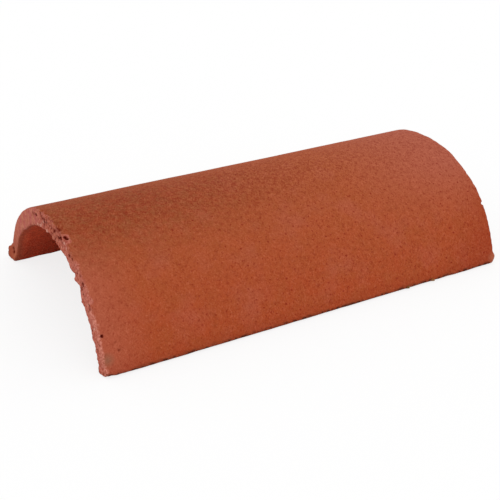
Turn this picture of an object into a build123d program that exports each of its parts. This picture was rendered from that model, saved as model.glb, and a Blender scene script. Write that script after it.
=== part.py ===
from build123d import *

import os
from math import sqrt

# Half round ridge tile: one piece of pressed, pigmented concrete.
# The tile runs along X and stands crown up on its two feet, which lie on the XY plane.
# The origin is on that plane, under the middle of the tile. Sizes are in millimetres.

# Overall sizes of the tile
TILE_LENGTH = 450.0  # along the ridge, end to end
TILE_WIDTH = 250.0  # across the outside of the two feet
TILE_RISE = 100.0  # from the feet to the top of the crown
WALL = 18.0  # thickness of the shell, the same all the way round

# Edges, rounded by the mould and by the trowel that strikes off the ends
TOE_RADIUS = 3.0  # outer bottom edge of each leg
HEEL_RADIUS = 5.0  # inner bottom edge of each leg
END_EDGE_RADIUS = 2.5  # every edge of the two end faces

# The outside is one arc through the crown that runs tangent into the toe rounds. A toe's centre lies
# TOE_RADIUS above the feet and TOE_RADIUS inside the overall width, and that fixes the arc's radius.
toe_centre_y = TILE_WIDTH / 2 - TOE_RADIUS
toe_below_crown = TILE_RISE - TOE_RADIUS
outer_radius = (toe_centre_y**2 + toe_below_crown**2 - TOE_RADIUS**2) / (2 * (toe_below_crown - TOE_RADIUS))
inner_radius = outer_radius - WALL
arc_centre_below_feet = outer_radius - TILE_RISE

# Where the two arcs cross the plane of the feet, before their corners are rounded
outer_corner_y = sqrt(outer_radius**2 - arc_centre_below_feet**2)
inner_corner_y = sqrt(inner_radius**2 - arc_centre_below_feet**2)


def corners_from_middle(section):
    """The section's corners in order outwards: the two heels come first, and the two toes last."""
    return section.vertices().sort_by(lambda corner: abs(corner.X))


def tile_section():
    """The arched section: two concentric arcs, closed by a level foot on each side."""
    with BuildSketch(Plane.YZ) as section:
        with BuildLine():
            ThreePointArc((-outer_corner_y, 0), (0, TILE_RISE), (outer_corner_y, 0))
            ThreePointArc((-inner_corner_y, 0), (0, TILE_RISE - WALL), (inner_corner_y, 0))
            for side in (-1, 1):
                Line((side * inner_corner_y, 0), (side * outer_corner_y, 0))
        make_face()
        fillet(corners_from_middle(section)[-2:], TOE_RADIUS)
        fillet(corners_from_middle(section)[:2], HEEL_RADIUS)
    return section.sketch


def ridge_tile():
    """The section run out to the tile's length, with the edges of both ends eased."""
    with BuildPart() as tile:
        extrude(tile_section(), amount=TILE_LENGTH / 2, both=True)
        faces_along_ridge = tile.faces().sort_by(Axis.X)
        end_faces = [faces_along_ridge[0], faces_along_ridge[-1]]
        fillet([edge for face in end_faces for edge in face.edges()], END_EDGE_RADIUS)
    return tile.part


os.makedirs("parts", exist_ok=True)
export_step(ridge_tile(), "parts/ridge_tile.step")
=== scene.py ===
from math import atan2, cos, hypot, pi, radians, sin, sqrt

import bmesh
import bpy
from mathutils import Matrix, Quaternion, Vector


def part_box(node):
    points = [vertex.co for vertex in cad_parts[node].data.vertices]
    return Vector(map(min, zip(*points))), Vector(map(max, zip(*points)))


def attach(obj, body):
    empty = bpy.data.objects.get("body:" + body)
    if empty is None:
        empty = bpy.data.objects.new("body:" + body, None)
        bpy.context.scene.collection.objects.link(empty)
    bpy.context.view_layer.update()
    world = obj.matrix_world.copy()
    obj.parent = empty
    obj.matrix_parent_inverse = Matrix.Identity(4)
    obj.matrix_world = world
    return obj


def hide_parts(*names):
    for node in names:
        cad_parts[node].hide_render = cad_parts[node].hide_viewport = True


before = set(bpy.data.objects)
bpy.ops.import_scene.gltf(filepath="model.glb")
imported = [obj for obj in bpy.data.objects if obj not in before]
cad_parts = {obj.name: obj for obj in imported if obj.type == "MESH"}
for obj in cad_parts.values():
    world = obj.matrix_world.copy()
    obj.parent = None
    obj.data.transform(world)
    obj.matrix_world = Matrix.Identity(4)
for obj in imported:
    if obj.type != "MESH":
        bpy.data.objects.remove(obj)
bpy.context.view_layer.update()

# The tile: one arched shell of pigmented concrete, pressed in a mould and struck off square at both ends,
# which lies loose on its two feet. Its section is drawn as one line, arc by arc, filled, and run out along
# the ridge, in steps that are shortest at the ends, where the wear is finest.
MM = 0.001
NEAR = 0.02 * MM  # points closer than this count as one
WALL = 18 * MM  # thickness of the shell
TOE_RADIUS = 3 * MM  # outer bottom edge of each leg
HEEL_RADIUS = 5 * MM  # inner bottom edge of each leg
END_EDGE_RADIUS = 2.5 * MM  # edges of the two end faces
SECTION_STEP = 1.0 * MM  # how close the points of the section are
COARSE_STEP = 9 * MM  # the widest that the sections stand apart
ROUND_STEPS = 6  # how many lines draw the round of a toe or a heel
FOOT_STEPS = 18  # how many lines draw a foot, and how many rows of faces cross an end
END_STEPS = 3  # how many rows of faces round the edge of an end
CAP_CORNERS = 4  # only a cap that closes an end has more corners than this
FOOT_NEAR = SECTION_STEP / 3  # points closer than this are merged where an end meets a foot
low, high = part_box("ridge_tile")
CRUMB_X = (108 * MM, 140 * MM)  # where crumbs stick to the front toe
# each busy place along the ridge: where it is, how close the sections are there, and how fast they spread out
BUSY_PLACES = [(low.x, 0.6 * MM, 0.09), (high.x, 0.9 * MM, 0.14)]
BUSY_PLACES += [(crumb_x, 1.1 * MM, 0.4) for crumb_x in CRUMB_X]

toe_y = high.y - TOE_RADIUS
toe_drop = high.z - TOE_RADIUS
outer_radius = (toe_y**2 + toe_drop**2 - TOE_RADIUS**2) / (2 * (toe_drop - TOE_RADIUS))
inner_radius = outer_radius - WALL
arc_z = high.z - outer_radius
heel_y = sqrt((inner_radius + HEEL_RADIUS) ** 2 - (HEEL_RADIUS - arc_z) ** 2)
outer_reach = atan2(toe_y, TOE_RADIUS - arc_z)
inner_reach = atan2(heel_y, HEEL_RADIUS - arc_z)
section_x = low.x + END_EDGE_RADIUS
arc_steps = round(2 * outer_reach * outer_radius / SECTION_STEP)
foot_step = (heel_y - toe_y) / FOOT_STEPS


def sweep(angle, y, z, steps):
    """Draws an arc on from the end of the section's line, about a centre in the section."""
    bpy.ops.mesh.spin(steps=steps, angle=angle, center=(section_x, y, z), axis=(1, 0, 0))


def draw_foot():
    """Draws a foot's level line on from the end of the section's line."""
    for _ in range(FOOT_STEPS):
        bpy.ops.mesh.extrude_region_move(TRANSFORM_OT_translate={"value": (0, foot_step, 0)})


bpy.ops.object.select_all(action="DESELECT")
bpy.ops.mesh.primitive_plane_add(size=WALL, location=(section_x, -toe_y, 0))
tile = bpy.context.object
tile.name = "concrete_tile"
bpy.ops.object.transform_apply()
bpy.ops.object.mode_set(mode="EDIT")
bpy.ops.mesh.select_all(action="SELECT")
bpy.ops.mesh.merge(type="CENTER")
sweep(pi - outer_reach, -toe_y, TOE_RADIUS, ROUND_STEPS)
sweep(2 * outer_reach, 0, arc_z, arc_steps)
sweep(pi - outer_reach, toe_y, TOE_RADIUS, ROUND_STEPS)
draw_foot()
sweep(inner_reach, heel_y, HEEL_RADIUS, ROUND_STEPS)
sweep(-2 * inner_reach, 0, arc_z, arc_steps)
sweep(inner_reach, -heel_y, HEEL_RADIUS, ROUND_STEPS)
draw_foot()
bpy.ops.mesh.select_all(action="SELECT")
bpy.ops.mesh.remove_doubles(threshold=NEAR)
bpy.ops.mesh.edge_face_add()

reached = section_x
while -section_x - reached > NEAR:
    step = min(fine + growth * abs(reached - busy_x) for busy_x, fine, growth in BUSY_PLACES)
    step = min(step, COARSE_STEP, -section_x - reached)
    bpy.ops.mesh.extrude_region_move(TRANSFORM_OT_translate={"value": (step, 0, 0)})
    reached += step
bpy.ops.mesh.select_all(action="SELECT")
bpy.ops.mesh.normals_make_consistent(inside=False)

# each end face is inset round its edge, opened, and closed again by rows of faces across the wall
for end in (-1, 1):
    bpy.ops.mesh.select_mode(type="FACE")
    bpy.ops.mesh.select_all(action="DESELECT")
    mesh = bmesh.from_edit_mesh(tile.data)
    cap = max(mesh.faces, key=lambda face: (len(face.verts) > CAP_CORNERS, end * face.calc_center_median().x))
    cap.select = True
    bmesh.update_edit_mesh(tile.data)
    for step in range(END_STEPS):
        before, after = (pi / 2 * turn / END_STEPS for turn in (step, step + 1))
        bpy.ops.mesh.inset(
            thickness=END_EDGE_RADIUS * (cos(before) - cos(after)),
            depth=END_EDGE_RADIUS * (sin(after) - sin(before)),
        )
    bpy.ops.mesh.select_mode(type="EDGE")
    bpy.ops.mesh.delete(type="ONLY_FACE")
    mesh = bmesh.from_edit_mesh(tile.data)
    for edge in mesh.edges:
        on_end = all(abs(v.co.x - end * high.x) < NEAR for v in edge.verts)
        is_low = all(abs(v.co.z - END_EDGE_RADIUS) < NEAR for v in edge.verts)
        on_foot = is_low and all(abs(v.co.y) > heel_y - NEAR for v in edge.verts)
        edge.select = on_end and not on_foot
    mesh.select_flush_mode()
    bpy.ops.mesh.bridge_edge_loops(number_cuts=FOOT_STEPS - 1, interpolation="LINEAR")
    # the rows end at the feet, where their points lie beside those of the foot's own edge
    bpy.ops.mesh.select_mode(type="VERT")
    mesh = bmesh.from_edit_mesh(tile.data)
    for vert in mesh.verts:
        vert.select = abs(vert.co.x - end * high.x) < NEAR and abs(vert.co.z - END_EDGE_RADIUS) < NEAR
    mesh.select_flush_mode()
    bpy.ops.mesh.remove_doubles(threshold=FOOT_NEAR)
bpy.ops.mesh.select_all(action="SELECT")
bpy.ops.mesh.normals_make_consistent(inside=False)
bpy.ops.object.mode_set(mode="OBJECT")

# The wear keeps to its places: each group of points fades in towards one of them. Where each point lies
# before any wear is kept too, along the ridge, round the arc and out from its centre: the colours are drawn
# in these lengths.
SHELL_HEIGHT = 12 * MM  # the mould's waves fade away below this, so that the feet stay level
ROUGH_DEPTH = 7 * MM  # how far in from the left end its roughness fades away
SMOOTH_SIDE = radians(20)  # past this the left end is smoother
SMOOTH_SHARE = 0.35  # how much of the roughness is left there
CRUMBLED_ANGLE = radians(1)  # the crumbled part of the left end, by the crown
CRUMBLED_SPAN = radians(20)
CRUMBLED_CORE = 1.6  # above 1, a middle part is crumbled throughout
RIGHT_DEPTH = 5 * MM  # how far in from the right end its roughness fades away
TOE_HEIGHT = 6 * MM  # how far up the toes their roughness fades away
shell = tile.vertex_groups.new(name="shell")
rough_end = tile.vertex_groups.new(name="rough_end")
crumbled = tile.vertex_groups.new(name="crumbled")
right_end = tile.vertex_groups.new(name="right_end")
toes = tile.vertex_groups.new(name="toes")
unrolled = []
for vert in tile.data.vertices:
    angle = atan2(vert.co.y, vert.co.z - arc_z)
    radius = hypot(vert.co.y, vert.co.z - arc_z)
    unrolled += [vert.co.x, angle * outer_radius, radius]
    shell.add([vert.index], max(0, min(1, vert.co.z / SHELL_HEIGHT)), "REPLACE")
    nearness = 1 - (vert.co.x - low.x) / ROUGH_DEPTH
    if nearness > 0:
        rough_end.add([vert.index], nearness * (SMOOTH_SHARE if angle > SMOOTH_SIDE else 1), "REPLACE")
        crumbling = max(0, 1 - abs(angle - CRUMBLED_ANGLE) / CRUMBLED_SPAN)
        crumbled.add([vert.index], nearness * min(1, CRUMBLED_CORE * crumbling), "REPLACE")
    if high.x - vert.co.x < RIGHT_DEPTH:
        right_end.add([vert.index], 1 - (high.x - vert.co.x) / RIGHT_DEPTH, "REPLACE")
    if vert.co.z < TOE_HEIGHT:
        toes.add([vert.index], min(1, 1 - vert.co.z / TOE_HEIGHT), "REPLACE")
tile.data.attributes.new("unrolled", "FLOAT_VECTOR", "POINT").data.foreach_set("vector", unrolled)


def roughen(kind, group, grain, height, direction="NORMAL", level=0.5):
    """Displaces a group of points by a texture of one grain size; where it has the level, a point stays."""
    texture = bpy.data.textures.new("roughness", kind)
    texture.noise_scale = grain
    modifier = tile.modifiers.new("roughness", "DISPLACE")
    modifier.texture = texture
    modifier.texture_coords = "LOCAL"
    modifier.direction = direction
    modifier.strength = height
    modifier.mid_level = level
    modifier.vertex_group = group
    bpy.ops.object.modifier_apply(modifier=modifier.name)


def press(along, angle, radius, push, reach, falloff="SMOOTH"):
    """Pushes the skin round one place by lengths along the ridge, round the arc and out from its centre."""
    angle = radians(angle)
    spot = Vector((low.x + along * MM, radius * MM * sin(angle), arc_z + radius * MM * cos(angle)))
    up_arc = Vector((0, cos(angle), -sin(angle)))
    outward = Vector((0, sin(angle), cos(angle)))
    move = Vector((push[0], 0, 0)) + push[1] * up_arc + push[2] * outward
    bpy.ops.mesh.select_all(action="DESELECT")
    mesh = bmesh.from_edit_mesh(tile.data)
    nearest = min(mesh.verts, key=lambda vert: (vert.co - spot).length_squared)
    nearest.select = True
    mesh.select_flush_mode()
    bpy.ops.transform.translate(
        value=move * MM,
        use_proportional_edit=True,
        proportional_edit_falloff=falloff,
        proportional_size=reach * MM,
    )


# waves from the mould, uneven ends, and toes that are uneven twice over, coarse and fine
TOE_LEVEL = 0.27  # low enough that no toe sinks into the floor
roughen("CLOUDS", "shell", grain=70 * MM, height=0.9 * MM)
roughen("CLOUDS", "rough_end", grain=9 * MM, height=2.0 * MM, direction="X")
roughen("CLOUDS", "right_end", grain=6 * MM, height=1.8 * MM, direction="X")
roughen("CLOUDS", "toes", grain=14 * MM, height=1.2 * MM, direction="Z", level=TOE_LEVEL)
roughen("CLOUDS", "toes", grain=5 * MM, height=0.8 * MM, direction="Z", level=TOE_LEVEL)

# Places below are in millimetres from the left end, in degrees round the arc from the crown, below zero on
# the near side, and in millimetres from the arc's centre. Pushes, depths and reaches are in millimetres.
LEFT = 0
RIGHT = (high.x - low.x) / MM
INNER_EDGE = 112  # just within the wall at its inner face
OUTER_EDGE = 129  # just within the wall at its outer face
# the left end's line (angle, radius, push along the ridge, reach)
LEFT_LINE = (
    (-50, 120, -1.9, 36), (-68, 120, -2.1, 36),  # the near leg stands out
    (48, 127, -0.9, 40), (35, 127, -0.8, 30),  # the far shoulder stands out less
    # steps in the near leg's inner edge
    (-42.5, INNER_EDGE, -1.6, 6), (-31, INNER_EDGE, -1.4, 4.5), (-24, INNER_EDGE, -0.8, 5),
    (-60, INNER_EDGE, -0.8, 5), (-66, INNER_EDGE, -0.6, 5), (-28.5, INNER_EDGE, 1.6, 5),
    (-35.5, INNER_EDGE, 1.0, 5), (-39.8, INNER_EDGE, -0.9, 4), (-51.8, INNER_EDGE, -0.8, 5),
)
# the far leg's inner edge is worn thin
WORN_ANGLES = (46, 51, 56, 61, 66)
WORN_PUSH = (0, 0, 1.8)
WORN_REACH = 11
# the feet at the left end (along the ridge, angle, radius, push, reach, falloff)
FEET = (
    (LEFT, 79, 114, (-4, 0, 0), 16, "SMOOTH"),  # the far foot stands out
    (LEFT, 74, 124, (-3, 0, 3), 8, "ROOT"),  # a lump of mix on it
    (LEFT, 77, 124, (-1, 0, 1), 6, "ROOT"),
    (LEFT, 71.5, 128, (-2.4, -0.3, 0.4), 5, "ROOT"),
    (LEFT, -78, 120, (-2.5, 0, 0), 9, "SMOOTH"),  # the near foot's end is swollen
    (LEFT, -80, 114, (-2.4, 0, 0), 7, "SMOOTH"),
    (2, -76, 127, (0, 1.2, 0), 7, "SMOOTH"),  # its toe is worn
)
# the right end's line (angle, radius, push along the ridge, reach)
RIGHT_LINE = (
    (-3, 122, -2.0, 30), (5, 127, -2.6, 16), (13, 127, -2.4, 17),  # worn back by the crown
    (-46, 124, 1.3, 60), (-38, 127, 0.5, 30),  # standing out down the near side
    (-73, 129, 2.4, 6), (-76.5, 127, -1.6, 4),  # the chipped corner
    (-46.6, 128.5, -3.2, 2.6), (-46.6, 126.5, -3.2, 2.6),  # a nick
    (-30, 129, -0.6, 3), (-36, 129, -0.8, 2.4), (-55, 129, -0.6, 2.4), (-63, 129, -0.5, 2.4),  # small notches
)
CRUMB_ANGLE = -76.2
CRUMB_PUSH = (0, 0, 3.2)
CRUMB_REACH = 2.2
bpy.ops.object.mode_set(mode="EDIT")
bpy.ops.mesh.select_mode(type="VERT")
for angle, radius, push, reach in LEFT_LINE:
    press(LEFT, angle, radius, (push, 0, 0), reach)
for angle in WORN_ANGLES:
    press(LEFT, angle, INNER_EDGE, WORN_PUSH, WORN_REACH)
for along, angle, radius, push, reach, falloff in FEET:
    press(along, angle, radius, push, reach, falloff)
for angle, radius, push, reach in RIGHT_LINE:
    press(RIGHT, angle, radius, (push, 0, 0), reach)
for crumb_x in CRUMB_X:
    press((crumb_x - low.x) / MM, CRUMB_ANGLE, OUTER_EDGE, CRUMB_PUSH, CRUMB_REACH)
bpy.ops.object.mode_set(mode="OBJECT")
skin = [(vert.co.copy(), vert.normal.copy()) for vert in tile.data.vertices]

# The mix left voids, and the end by the crown crumbled. How far each point lies below the skin is kept, to
# tell where shade is painted into the hollows.
roughen("CLOUDS", "rough_end", grain=2.6 * MM, height=1.3 * MM)
roughen("VORONOI", "crumbled", grain=4.5 * MM, height=-2.8 * MM)
# deep voids and crevices in the left end's face (angle, radius, depth, reach)
END_VOIDS = (
    # a slot by the crown
    (-8.3, 120.8, 4.5, 2), (-9.4, 121.9, 4.5, 2), (-10.6, 123.1, 4.5, 2), (-11.8, 124.3, 4.5, 2),
    (-12.7, 125.3, 4, 1.9),
    # voids on the near side, then over the crown, then by the far foot
    (-36.8, 124.2, 4.8, 2.8), (-21.3, 122, 3, 2.4), (-24.5, 124.8, 2.6, 2.2), (22.3, 123.9, 3.5, 2.4),
    (19.4, 123.6, 3, 2.2), (17.8, 123, 3.5, 2.4), (11.9, 126, 4, 2.4), (11.2, 124.6, 4, 2.4),
    (10.8, 123, 3.5, 2.4), (7.3, 123.9, 3, 2.3), (4.2, 123.9, 3.2, 2.3), (1.5, 122, 3.0, 2.4),
    (-0.7, 120.2, 1.3, 2.2), (-3.3, 120.2, 1.0, 2.2), (70.2, 122.9, 3, 2.4), (71.3, 119.2, 3.4, 2.6),
)
# small pits in the near leg's end (angle, radius, depth)
END_PITS = (
    (-37.4, 120.2, 3), (-37.6, 118.3, 3), (-40.3, 118.3, 2.8), (-46.4, 126.2, 2), (-47.7, 125.4, 1.8),
    (-48.6, 124.6, 2), (-48, 120.2, 2.2), (-45.5, 126.4, 1.6), (-61, 123, 2.6), (-62.7, 125, 2.6),
    (-64.9, 118, 2.2), (-56, 115.8, 2.8), (-30.5, 121, 2), (-33.2, 125, 1.8),
)
PIT_REACH = 1.9
# voids in the outer face by the left end (along the ridge, angle, depth, reach)
FACE_VOIDS = (
    (2.4, -13.6, 3.6, 2.2), (3.0, -14.9, 3.6, 2.2), (1.2, -6.7, 0.9, 1.4), (1.7, -59.2, 3.2, 2.0),
    (13.2, -62.8, 0.5, 2.0), (13.2, -66.3, 1.0, 2.0),
)
bpy.ops.object.mode_set(mode="EDIT")
for angle, radius, depth, reach in END_VOIDS:
    press(LEFT, angle, radius, (depth, 0, 0), reach)
for angle, radius, depth in END_PITS:
    press(LEFT, angle, radius, (depth, 0, 0), PIT_REACH)
for along, angle, depth, reach in FACE_VOIDS:
    press(along, angle, OUTER_EDGE, (0, 0, -depth), reach)
bpy.ops.object.mode_set(mode="OBJECT")
lost = [(was - vert.co).dot(normal) for (was, normal), vert in zip(skin, tile.data.vertices)]
tile.data.attributes.new("lost", "FLOAT", "POINT").data.foreach_set("value", lost)
bpy.ops.object.shade_smooth()

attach(tile, "root")
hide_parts("ridge_tile")


def linear(hex_colour):
    """An sRGB hex colour as the linear values that a shader takes."""
    channels = [int(hex_colour[i:i + 2], 16) / 255 for i in (1, 3, 5)]
    return [c / 12.92 if c <= 0.04045 else ((c + 0.055) / 1.055) ** 2.4 for c in channels] + [1]


def add(tree, kind, inputs=None, output=0, **settings):
    """Adds a node and gives an output of it; each input is another output, a hex colour or a value."""
    node = tree.nodes.new(kind)
    for name, value in settings.items():
        setattr(node, name, value)
    for name, value in (inputs or {}).items():
        if isinstance(value, bpy.types.NodeSocket):
            tree.links.new(value, node.inputs[name])
        else:
            node.inputs[name].default_value = linear(value) if isinstance(value, str) else value
    return None if output is None else node.outputs[output]


def spot_on(along, angle, radius):
    """A place on the unrolled tile, by the same measures as a press."""
    return (low.x + along * MM, radians(angle) * outer_radius, radius * MM)


# Pigmented concrete: sand and cement, coloured right through, with a thin coat of pigment slurry brushed on.
# It is matt all over. The eye sees brick red that drifts to brown and pink, fine dark strokes and sand.
RESULT = 2  # a colour mix: its output, and its two colours
FIRST = 6
SECOND = 7
VECTOR = 1  # an attribute's output as a vector
FACTOR = 2  # an attribute's output as a number
concrete = bpy.data.materials.new("pigmented_concrete")
concrete.use_nodes = True
tree = concrete.node_tree
tree.nodes.clear()
place = add(tree, "ShaderNodeAttribute", output=VECTOR, attribute_name="unrolled")
along_ridge, round_arc, from_centre = add(tree, "ShaderNodeSeparateXYZ", {"Vector": place}).node.outputs
from_crown = add(tree, "ShaderNodeMath", {0: round_arc}, operation="ABSOLUTE")
below_skin = add(tree, "ShaderNodeAttribute", output=FACTOR, attribute_name="lost")
toe_arc = outer_reach * outer_radius  # where the outer arc ends, measured from the crown

# patterns of noise all over: size of their features, how much finer detail they hold, and how strong it is
PATTERNS = {
    "drift": (18 * MM, 5, 0.65),
    "haze": (30 * MM, 3, 0.5),
    "lichen": (9 * MM, 4, 0.65),
    "patches": (5 * MM, 3, 0.65),
    "specks": (3 * MM, 0, 0.5),
    "sand": (1.5 * MM, 2, 0.6),  # real grains are half as large, too fine to show
    "contact_shadow": (6 * MM, 2, 0.5),
    "toe spots": (4.5 * MM, 1, 0.5),
    "aggregate": (2.2 * MM, 3, 0.6),
    "pebbles": (3.4 * MM, 1, 0.5),
    "far tones": (8 * MM, 2, 0.5),
    "ragged edge": (6 * MM, 4, 0.6),
    "grit": (1.6 * MM, 2, 0.5),  # the surface's relief, drawn coarser than it is for the same reason
}
noise = {}
for name, (size, detail, strength) in PATTERNS.items():
    settings = {"Vector": place, "Scale": 1 / size, "Detail": detail, "Roughness": strength}
    noise[name] = add(tree, "ShaderNodeTexNoise", settings)
# the slurry's brush left short strokes that cross: their size across and along, and how far they lean
STROKE = Vector((1.2, 4, 1.2)) * MM
STROKE_LEANS = (radians(34), radians(-26))
strokes = []
for lean in STROKE_LEANS:
    settings = {"Vector": place, "Rotation": (0, 0, lean), "Scale": STROKE}
    turned = add(tree, "ShaderNodeMapping", settings, vector_type="TEXTURE")
    strokes.append(add(tree, "ShaderNodeTexNoise", {"Vector": turned, "Scale": 1, "Detail": 1}))
thick = add(tree, "ShaderNodeMath", {0: strokes[0], 1: strokes[1]}, operation="MAXIMUM")
thin = add(tree, "ShaderNodeMath", {0: strokes[0], 1: strokes[1]}, operation="MINIMUM")

# slow changes over the tile: what they follow, where they start and end, their values there, and how they run
CHANGES = {
    "to left": (along_ridge, 105 * MM, -190 * MM, 0, 1, "SMOOTHSTEP"),
    "weather": (from_crown, 98 * MM, 10 * MM, 0, 1, "SMOOTHSTEP"),
    "brushed": (from_crown, 60 * MM, 15 * MM, 0, 1, "LINEAR"),
    "brushed less": (along_ridge, high.x, 0, 0.4, 1, "LINEAR"),
    "speck share": (along_ridge, low.x, low.x + 130 * MM, 0.15, 0.6, "LINEAR"),
    "sand share": (along_ridge, low.x, low.x + 160 * MM, 0.13, 0.21, "LINEAR"),
    # the lining grows darker lower down: painted shade
    "painted shade down the lining": (from_crown, 115 * MM, 165 * MM, 0, 1, "SMOOTHSTEP"),
}
change = {}
for name, (value, start, finish, first, last, run) in CHANGES.items():
    settings = {"Value": value, "From Min": start, "From Max": finish, "To Min": first, "To Max": last}
    change[name] = add(tree, "ShaderNodeMapRange", settings, interpolation_type=run)
# the crown's left part is browned by weather, and the brush worked the crown the most, less at its right end
to_left = change["to left"]
browned = add(tree, "ShaderNodeMath", {0: change["weather"], 1: to_left}, operation="MULTIPLY")
worked = add(tree, "ShaderNodeMath", {0: change["brushed"], 1: change["brushed less"]}, operation="MULTIPLY")
# what they add to the patterns, or take away, and how far the painted contact shadow sways
PATCHES_BROWNED = 0.1
THICK_WORKED = 0.09
THICK_LEFT = -0.035
THIN_WORKED = -0.03
SAND_WORKED = 0.15
CONTACT_SHADOW_SWAY = 7 * MM
patches = add(
    tree, "ShaderNodeMath", {0: browned, 1: PATCHES_BROWNED, 2: noise["patches"]}, operation="MULTIPLY_ADD"
)
thick = add(tree, "ShaderNodeMath", {0: worked, 1: THICK_WORKED, 2: thick}, operation="MULTIPLY_ADD")
thick = add(tree, "ShaderNodeMath", {0: to_left, 1: THICK_LEFT, 2: thick}, operation="MULTIPLY_ADD")
thin = add(tree, "ShaderNodeMath", {0: worked, 1: THIN_WORKED, 2: thin}, operation="MULTIPLY_ADD")
sand_share = add(
    tree, "ShaderNodeMath", {0: worked, 1: SAND_WORKED, 2: change["sand share"]}, operation="MULTIPLY_ADD"
)
# a dark line along the toes' very edge, swayed by noise: painted contact shadow
contact_shadow = add(
    tree, "ShaderNodeMath", {0: noise["contact_shadow"], 1: CONTACT_SHADOW_SWAY, 2: from_crown}, operation="MULTIPLY_ADD"
)

# where each layer of colour shows: what it follows, where it starts, where it is full, and its share there
MASKS = {
    # the coat grows lighter towards the crown, a painted sheen, and its hue drifts between red and brown
    "painted sheen": (from_crown, 150 * MM, 5 * MM, 1),
    "drift": (noise["drift"], 0.38, 0.66, 0.6),
    # a pink bloom of lime, in a haze all over and by the left end, and a pink painted sheen on the crown's
    # right end
    "haze": (noise["haze"], 0.5, 0.75, 0.32),
    "bloom left": (along_ridge, low.x + 50 * MM, low.x, 0.55),
    "crown sheen right": (along_ridge, high.x - 150 * MM, high.x, 0.8),
    "by crown": (from_crown, 115 * MM, 50 * MM, 1),
    # the right end is redder low down, and the left flank is a shade darker
    "redder": (along_ridge, 150 * MM, high.x, 0.7),
    "flank": (to_left, 0, 1, 0.05),
    # a film of lichen, and dark patches
    "lichen": (noise["lichen"], 0.38, 0.62, 1),
    "patches": (patches, 0.53, 0.69, 0.38),
    # the brush's strokes, dark where the pigment is thick and pale where it is thin
    "thick": (thick, 0.6, 0.76, 0.5),
    "thin": (thin, 0.4, 0.25, 0.14),
    # a few dark specks, and grains of sand, sunk and standing out
    "specks": (noise["specks"], 0.71, 0.8, change["speck share"]),
    "sunk sand": (noise["sand"], 0.5, 0.25, sand_share),
    "standing sand": (noise["sand"], 0.5, 0.75, 0.12),
    # painted shade that deepens down towards the toes where they meet the floor, a painted contact shadow
    # along their very edge, and dark spots there
    "painted toe shade": (from_crown, toe_arc - 14 * MM, toe_arc + 1 * MM, 0.3),
    "contact_shadow": (contact_shadow, toe_arc + 1.2 * MM, toe_arc + 5 * MM, 0.5),
    "toe spots": (noise["toe spots"], 0.5, 0.58, 0.72),
    "toe edge": (from_crown, toe_arc - 1.5 * MM, toe_arc + 0.5 * MM, 1),
    "off the sole": (from_centre, outer_radius - 5.5 * MM, outer_radius - 2.5 * MM, 1),
    # the lining: its grains show more, and it is darker by the left end
    "inside": (from_centre, inner_radius + 5 * MM, inner_radius + 1 * MM, 1),
    "lining's sunk sand": (noise["sand"], 0.5, 0.25, 0.65),
    "lining's standing sand": (noise["sand"], 0.5, 0.75, 0.28),
    "darker rim": (along_ridge, low.x + 9 * MM, low.x, 0.7),
    # the struck ends: aggregate all over, pebbles on the near side, other tones on the far side, by the crown
    # and at the far foot, and a pale rim low on the near leg
    "aggregate": (noise["aggregate"], 0.3, 0.7, 1),
    "pebbles": (noise["pebbles"], 0.56, 0.72, 0.42),
    "near side": (round_arc, 45 * MM, 15 * MM, 1),
    "far side": (round_arc, 15 * MM, 45 * MM, 0.65),
    "far tones": (noise["far tones"], 0.4, 0.6, 1),
    "by top": (from_crown, 40 * MM, 20 * MM, 0.2),
    "far foot": (round_arc, 110 * MM, 160 * MM, 0.8),
    "pale rim": (from_centre, outer_radius - 9 * MM, outer_radius - 4 * MM, 0.8),
    "low on the leg": (round_arc, -95 * MM, -115 * MM, 1),
    # of the right end only the face is bare; on the left the bare edge is narrower low down, and the far
    # leg's inner edge is worn away, each by a length
    "right face": (along_ridge, high.x - 0.8 * MM, high.x - 0.1 * MM, 1),
    "narrower": (from_crown, 112 * MM, 130 * MM, 0.4 * MM),
    "worn away": (round_arc, 90 * MM, 130 * MM, 3 * MM),
    # painted shade in the voids, crevices and crumbled hollows
    "hollow shade": (below_skin, 0.1 * MM, 1.2 * MM, 1),
}
mask = {}
for name, (value, start, full, share) in MASKS.items():
    settings = {"Value": value, "From Min": start, "From Max": full, "To Max": share}
    mask[name] = add(tree, "ShaderNodeMapRange", settings)
# some show only where they meet another
MEETINGS = (
    ("crown sheen right", "by crown"), ("toe spots", "toe edge"), ("toe spots", "off the sole"),
    ("pebbles", "near side"), ("pale rim", "low on the leg"), ("pale rim", "aggregate"),
)
for name, other in MEETINGS:
    mask[name] = add(tree, "ShaderNodeMath", {0: mask[name], 1: mask[other]}, operation="MULTIPLY")
# the pink layer is lime bloom, with painted sheen on the crown's right end
bloom_and_sheen = add(tree, "ShaderNodeMath", {0: mask["bloom left"], 1: mask["haze"]}, operation="MAXIMUM")
bloom_and_sheen = add(tree, "ShaderNodeMath", {0: bloom_and_sheen, 1: mask["crown sheen right"]}, operation="MAXIMUM")
redder = add(
    tree, "ShaderNodeMath", {0: mask["redder"], 1: mask["painted sheen"]}, operation="SUBTRACT", use_clamp=True
)

# colours that blend two tones: what blends them, and from which tone to which
BLENDS = {
    # the coat's tone grows lighter towards the crown: painted sheen
    "coat": (mask["painted sheen"], "#ab4a26", "#ac5935"),
    "browned": (mask["lichen"], "#994926", "#8e4e2a"),
    # the lining's darker tone lower down is painted shade
    "lining": (change["painted shade down the lining"], "#ca4e2c", "#923521"),
    "bare": (mask["aggregate"], "#984135", "#cc7966"),
    "far side": (mask["far tones"], "#ae5854", "#bc745c"),
}
blend = {}
for name, (share, tone, other_tone) in BLENDS.items():
    settings = {0: share, FIRST: tone, SECOND: other_tone}
    blend[name] = add(tree, "ShaderNodeMix", settings, RESULT, data_type="RGBA")

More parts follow.
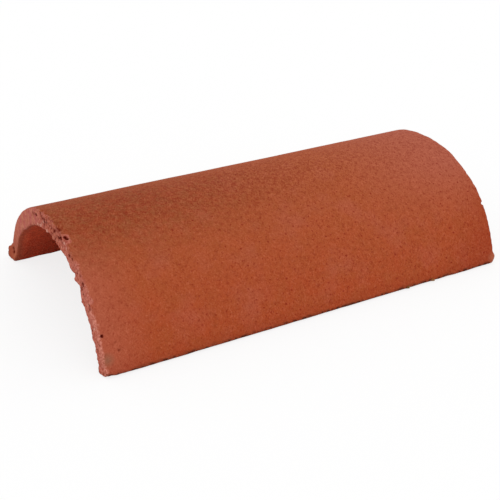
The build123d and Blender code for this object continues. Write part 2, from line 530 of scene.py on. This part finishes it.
PIGMENT = "#7d0a00"  # slurry at its thickest
BARE_SAND = "#f09070"  # sand that shows through it
coat_layers = [
    # the pink layer carries painted sheen on the crown's right end
    (mask["drift"], "#a35029"), (bloom_and_sheen, "#b2604d"), (redder, "#98381c"), (browned, blend["browned"]),
    (mask["patches"], "#852f14"), (mask["thick"], PIGMENT), (mask["thin"], BARE_SAND),
    (mask["specks"], PIGMENT), (mask["sunk sand"], PIGMENT), (mask["standing sand"], BARE_SAND),
    # painted shade above the toes, and painted contact shadow along their edge
    (mask["flank"], PIGMENT), (mask["painted toe shade"], "#8c2c10"), (mask["contact_shadow"], "#5c2a1a"),
    (mask["toe spots"], "#34150e"),
]
# spots on the coat (along the ridge, angle, reach, share, colour)
SKIN = outer_radius / MM  # radius of the outer face, as a press measures it
SPOTS = [
    (LEFT, 75, 12, 0.9, "#7a4226"),  # the skin of the lump at the far foot
    (3.3, -69, 8, 0.6, "#80604a"),  # a grey smudge low on the left
    (RIGHT - 1, -73.5, 9, 0.6, "#b87457"),  # the chipped corner low on the right
]
# and the ochre crumbs on the front toe
SPOTS += [((crumb_x - low.x) / MM, CRUMB_ANGLE, 3.2, 0.8, "#a08048") for crumb_x in CRUMB_X]
for along, angle, reach, share, tone in SPOTS:
    spot = spot_on(along, angle, SKIN)
    away = add(tree, "ShaderNodeVectorMath", {0: place, 1: spot}, "Value", operation="DISTANCE")
    settings = {"Value": away, "From Min": reach * MM, "From Max": 0, "To Max": share}
    coat_layers.append((add(tree, "ShaderNodeMapRange", settings), tone))

# the inside is the same mix, less weathered
lining_layers = [
    (mask["drift"], "#a83c24"), (mask["patches"], "#7c2814"), (mask["lichen"], "#ae3e24"),
    (mask["thick"], PIGMENT), (mask["lining's sunk sand"], PIGMENT),
    (mask["lining's standing sand"], BARE_SAND), (mask["darker rim"], "#75402e"),
]

# the struck ends are bare: pale grains of aggregate in pink cement, browner down the far leg
bare_layers = [
    (mask["far side"], blend["far side"]), (mask["by top"], "#a04a30"), (mask["pebbles"], "#d99d88"),
    (mask["far foot"], "#a4563c"), (mask["pale rim"], "#dd8f7c"), (mask["haze"], "#ad6446"),
]
# single pale grains in the left end's face (angle, radius)
GRAINS = (
    (9.4, 119.2), (13.5, 113.7), (15.8, 113.4), (17.8, 113.6), (12.2, 116), (6.4, 121.1), (4.5, 113.7),
    (-15.7, 125.7), (-18.3, 124.8), (-55.9, 121.1),
)
GRAIN_REACH = 2.2 * MM
GRAIN_CORE = 0.6 * MM
GRAIN_SHARE = 0.55
for angle, radius in GRAINS:
    spot = spot_on(LEFT, angle, radius)
    away = add(tree, "ShaderNodeVectorMath", {0: place, 1: spot}, "Value", operation="DISTANCE")
    settings = {"Value": away, "From Min": GRAIN_REACH, "From Max": GRAIN_CORE, "To Max": GRAIN_SHARE}
    bare_layers.append((add(tree, "ShaderNodeMapRange", settings), "#e4b3a2"))

# the bare edge by the left end is ragged, and at one place it is clean and narrower
EDGE_SWAY = 5 * MM
EDGE_GRAIN = -2.4 * MM
EDGE_START = low.x + 3.6 * MM
EDGE_FULL = low.x + 1.4 * MM
CLEAN_PLACE = spot_on(LEFT, -23.5, SKIN)
CLEAN_REACH = 10 * MM
CLEAN_CORE = 5 * MM
CLEAN_BY = 1.8 * MM
sway = noise["ragged edge"]
left_edge = add(tree, "ShaderNodeMath", {0: sway, 1: EDGE_SWAY, 2: along_ridge}, operation="MULTIPLY_ADD")
left_edge = add(
    tree, "ShaderNodeMath", {0: mask["aggregate"], 1: EDGE_GRAIN, 2: left_edge}, operation="MULTIPLY_ADD"
)
left_edge = add(tree, "ShaderNodeMath", {0: left_edge, 1: mask["narrower"]}, operation="ADD")
away = add(tree, "ShaderNodeVectorMath", {0: place, 1: CLEAN_PLACE}, "Value", operation="DISTANCE")
settings = {"Value": away, "From Min": CLEAN_REACH, "From Max": CLEAN_CORE, "To Max": CLEAN_BY}
clean = add(tree, "ShaderNodeMapRange", settings)
left_edge = add(tree, "ShaderNodeMath", {0: left_edge, 1: clean}, operation="ADD")
left_share = add(
    tree, "ShaderNodeMapRange", {"Value": left_edge, "From Min": EDGE_START, "From Max": EDGE_FULL}
)
# the coat is chipped back at a few places (along the ridge, angle, reach)
CHIPS = ((2.2, -13.8, 4.3), (1.6, -16.2, 4.0), (1.0, -45, 3.0))
CHIP_START = 3.3 * MM
CHIP_FULL = 1.3 * MM
for along, angle, reach in CHIPS:
    chip = spot_on(along, angle, SKIN)
    away = add(tree, "ShaderNodeVectorMath", {0: place, 1: chip}, "Value", operation="DISTANCE")
    away = add(tree, "ShaderNodeMath", {0: sway, 1: EDGE_SWAY, 2: away}, operation="MULTIPLY_ADD")
    settings = {"Value": away, "From Min": reach * MM + CHIP_START, "From Max": reach * MM + CHIP_FULL}
    chipped = add(tree, "ShaderNodeMapRange", settings)
    left_share = add(tree, "ShaderNodeMath", {0: left_share, 1: chipped}, operation="MAXIMUM")
# the far leg's worn inner edge has the lining's colour, and the lump at the far foot is skinned over with
# the coat
WORN_EDGE = 1.5 * MM
LUMP = spot_on(LEFT, 75, 126)
LUMP_CORE = 8 * MM
LUMP_REACH = 13 * MM
worn = add(tree, "ShaderNodeMath", {0: from_centre, 1: mask["worn away"]}, operation="SUBTRACT")
settings = {"Value": worn, "From Min": inner_radius - WORN_EDGE, "From Max": inner_radius}
unworn = add(tree, "ShaderNodeMapRange", settings)
away = add(tree, "ShaderNodeVectorMath", {0: place, 1: LUMP}, "Value", operation="DISTANCE")
off_lump = add(tree, "ShaderNodeMapRange", {"Value": away, "From Min": LUMP_CORE, "From Max": LUMP_REACH})
for kept in (unworn, off_lump):
    left_share = add(tree, "ShaderNodeMath", {0: left_share, 1: kept}, operation="MULTIPLY")
end_share = add(tree, "ShaderNodeMath", {0: left_share, 1: mask["right face"]}, operation="MAXIMUM")

# each part's layers are laid over its own colour in turn, then the parts over each other, and the painted
# shade in the hollows last
PARTS = {"coat": coat_layers, "lining": lining_layers, "bare": bare_layers}
for part, layers in PARTS.items():
    for share, tone in layers:
        settings = {0: share, FIRST: blend[part], SECOND: tone}
        blend[part] = add(tree, "ShaderNodeMix", settings, RESULT, data_type="RGBA")
colour = blend["coat"]
# the last layer, #661000, is shade painted into the hollows
for share, tone in ((mask["inside"], blend["lining"]), (end_share, blend["bare"]), (mask["hollow shade"], "#661000")):
    colour = add(tree, "ShaderNodeMix", {0: share, FIRST: colour, SECOND: tone}, RESULT, data_type="RGBA")

bump = add(tree, "ShaderNodeBump", {"Height": noise["grit"], "Strength": 0.5, "Distance": 0.5 * MM})
settings = {"Base Color": colour, "Roughness": 0.9, "Specular IOR Level": 0.1, "Normal": bump}
shader = add(tree, "ShaderNodeBsdfPrincipled", settings)
add(tree, "ShaderNodeOutputMaterial", {"Surface": shader}, None)
tile.data.materials.append(concrete)

# The studio: white paper laid flat under the tile, an even white sky, and a camera at the photo's angle.
# The paper is a wide plane, so that its edge stays out of the picture.
PAPER_SIZE = 12  # metres
bpy.ops.object.select_all(action="DESELECT")
bpy.ops.mesh.primitive_plane_add(size=PAPER_SIZE, location=(0, 0, 0))
floor = bpy.context.object
floor.name = "studio_floor"

# Matt white paper: the eye sees an even white ground, with a faint shadow under the tile. The camera is
# shown most of it as plain white, and the rest as paper that is lit and shaded.
PAPER_WHITE = "#f3f3f3"
SHADOW_SHARE = 0.22  # how much of the shadow shows to the camera
paper = bpy.data.materials.new("matt_white_paper")
paper.use_nodes = True
tree = paper.node_tree
tree.nodes.clear()
matt = add(tree, "ShaderNodeBsdfDiffuse", {"Color": PAPER_WHITE})
# this much glow makes paper that no shadow falls on come out as plain white
plain_white = (1 - SHADOW_SHARE * linear(PAPER_WHITE)[0]) / (1 - SHADOW_SHARE)
glow = add(tree, "ShaderNodeEmission", {"Strength": plain_white})
rays = add(tree, "ShaderNodeLightPath").node.outputs
seen = add(tree, "ShaderNodeMath", {0: rays["Is Camera Ray"], 1: rays["Is Glossy Ray"]}, operation="ADD")
seen = add(tree, "ShaderNodeMath", {0: seen, 1: rays["Is Transmission Ray"]}, operation="ADD", use_clamp=True)
share = add(tree, "ShaderNodeMath", {0: seen, 1: 1 - SHADOW_SHARE}, operation="MULTIPLY")
mixed = add(tree, "ShaderNodeMixShader", {0: share, 1: matt, 2: glow})
add(tree, "ShaderNodeOutputMaterial", {"Surface": mixed}, None)
floor.data.materials.append(paper)

# the sky is white on all sides, so that the light is as even as in the photo
world = bpy.data.worlds.new("white_sky")
world.use_nodes = True
tree = world.node_tree
tree.nodes.clear()
sky = add(tree, "ShaderNodeBackground", {"Color": "#ffffff", "Strength": 1})
add(tree, "ShaderNodeOutputWorld", {"Surface": sky}, None)
bpy.context.scene.world = world
bpy.context.scene.view_settings.view_transform = "Standard"

# the camera looks down at the tile from its near left
CAMERA_AZIMUTH = radians(-31.74)
CAMERA_ELEVATION = radians(29.15)
CAMERA_ROLL = radians(2.39)
CAMERA_DISTANCE = 1102 * MM
CAMERA_TARGET = Vector((-7.05, 0, 13)) * MM
CAMERA_LENS = 75
back = Vector((
    sin(CAMERA_AZIMUTH) * cos(CAMERA_ELEVATION),
    -cos(CAMERA_AZIMUTH) * cos(CAMERA_ELEVATION),
    sin(CAMERA_ELEVATION),
))
turn = (-back).to_track_quat("-Z", "Y") @ Quaternion((0, 0, 1), CAMERA_ROLL)
bpy.ops.object.camera_add(location=CAMERA_TARGET + back * CAMERA_DISTANCE, rotation=turn.to_euler())
camera = bpy.context.object
camera.data.lens = CAMERA_LENS
bpy.context.scene.camera = camera
